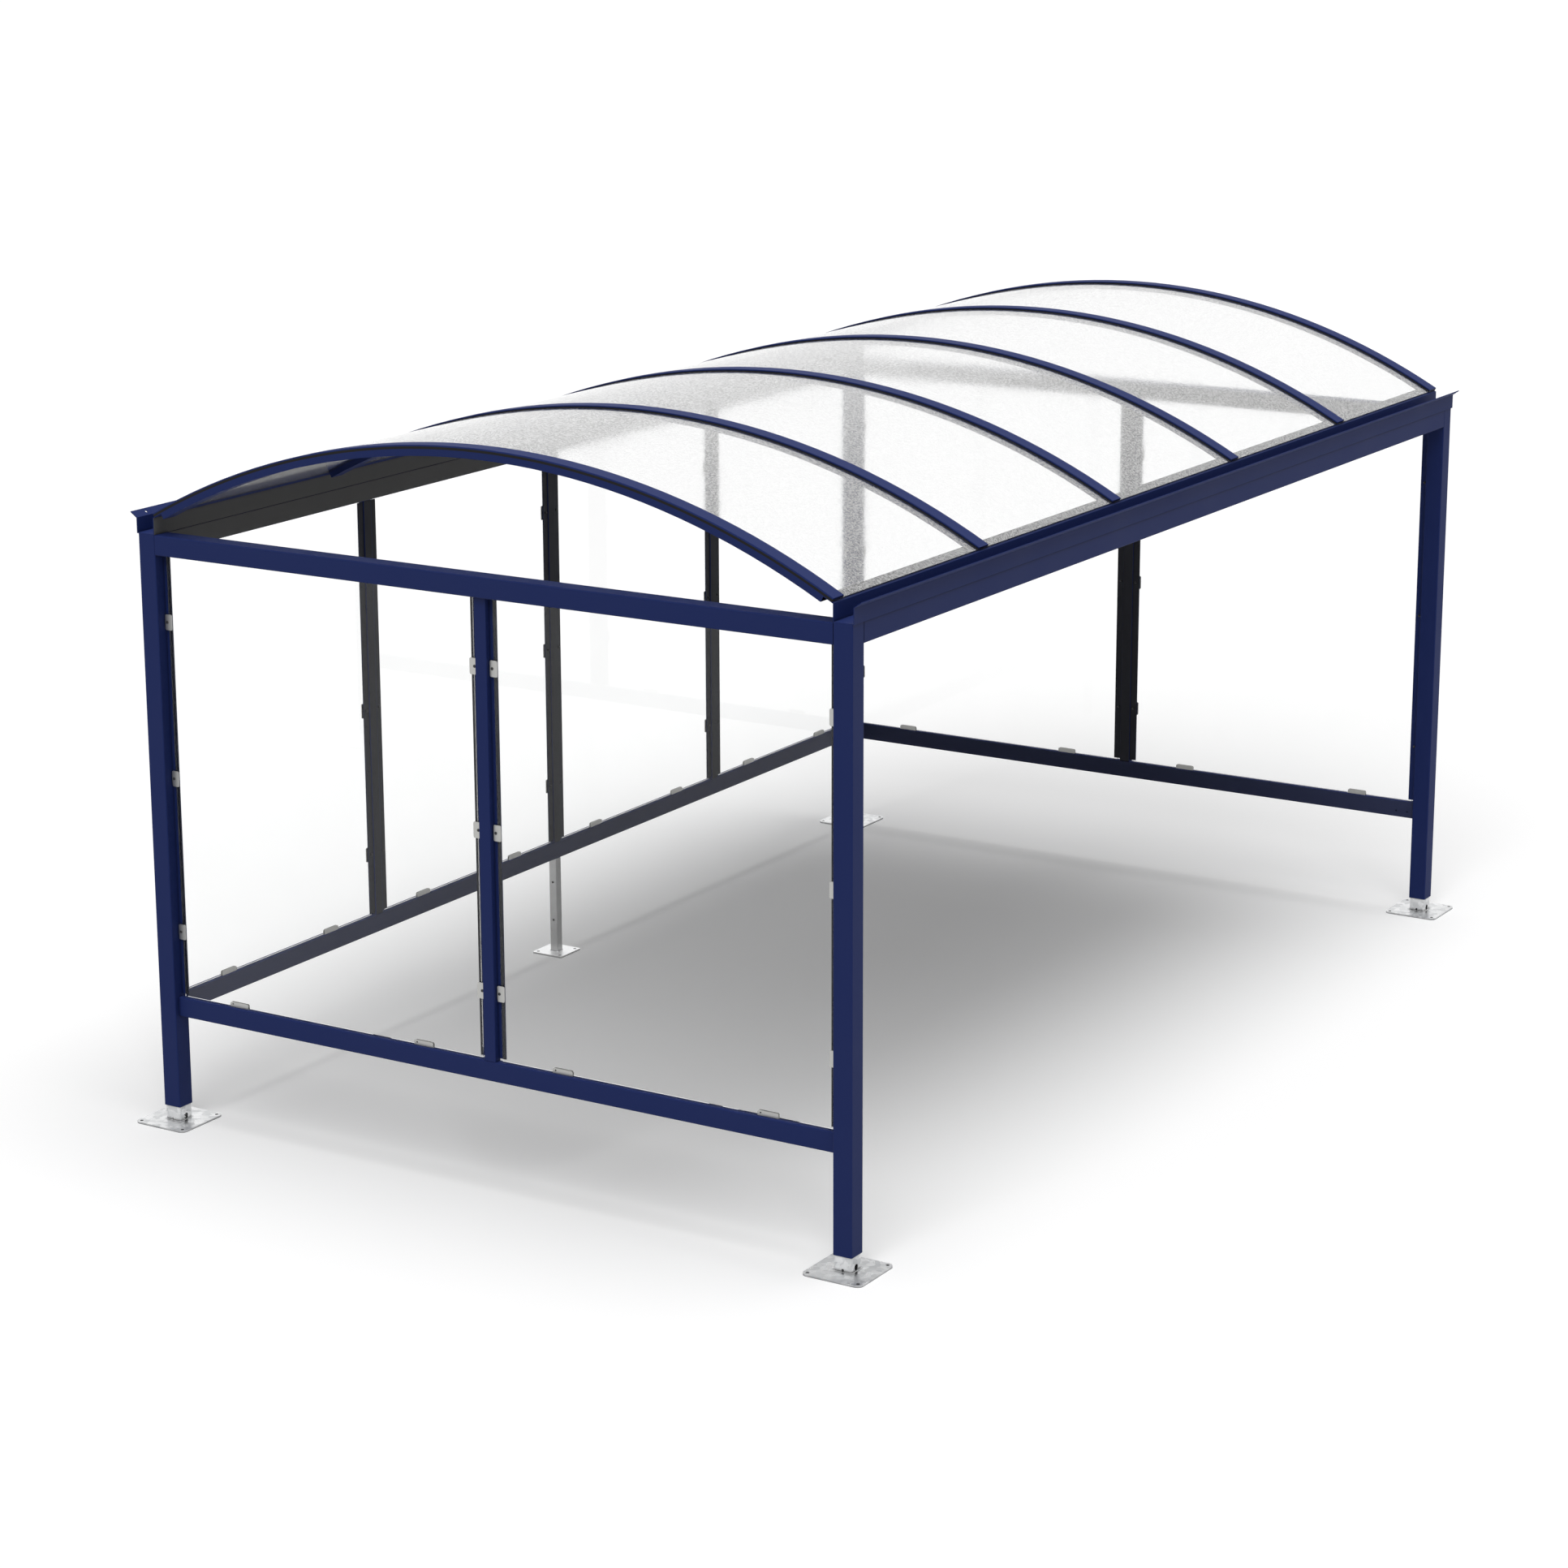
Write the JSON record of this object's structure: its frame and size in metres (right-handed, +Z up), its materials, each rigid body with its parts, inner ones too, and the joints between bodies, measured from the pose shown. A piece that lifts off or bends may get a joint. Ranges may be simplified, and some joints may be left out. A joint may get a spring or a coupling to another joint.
{
  "type": "bike shelter",
  "caption": "Open-fronted bike shelter with a painted steel frame, glazed ends and back, open gutters and a barrel roof of clear sheets.",
  "frame": {"origin": "on the ground under the middle of the plan", "axes": "+X along the length, -Y towards the open front, +Z up"},
  "size_m": [5.577, 3.392, 2.8865],
  "materials": {
    "frame_paint": "satin",
    "galvanised": "satin",
    "glass": "gloss",
    "roof_sheet": "gloss",
    "clip_metal": "satin",
    "rubber": "matte"
  },
  "bodies": {
    "root": {"post_left_front": "frame_paint", "foot_left_front": "galvanised", "post_left_back": "frame_paint", "foot_left_back": "galvanised", "post_right_front": "frame_paint", "foot_right_front": "galvanised", "post_right_back": "frame_paint", "foot_right_back": "galvanised", "beam_front": "frame_paint", "beam_back": "frame_paint", "beam_left": "frame_paint", "beam_right": "frame_paint", "rail_left": "frame_paint", "glass_left": "glass", "clips_left": "clip_metal", "rail_right": "frame_paint", "glass_right": "glass", "clips_right": "clip_metal", "rail_back": "frame_paint", "glass_back": "glass", "clips_back": "clip_metal", "support_leg": "galvanised", "mullion_left": "frame_paint", "mullion_right": "frame_paint", "mullion_back_left": "frame_paint", "mullion_back_middle": "frame_paint", "mullion_back_right": "frame_paint", "gutter_front": "frame_paint", "gutter_back": "frame_paint", "roof_rib_1": "frame_paint", "roof_rib_2": "frame_paint", "roof_rib_3": "frame_paint", "roof_rib_4": "frame_paint", "roof_rib_5": "frame_paint", "roof_rib_6": "frame_paint", "roof_sheet_1": "roof_sheet", "roof_sheet_2": "roof_sheet", "roof_sheet_3": "roof_sheet", "roof_sheet_4": "roof_sheet", "roof_sheet_5": "roof_sheet", "roof_seals": "rubber", "roof_caps": "frame_paint"}
  },
  "joints": []
}
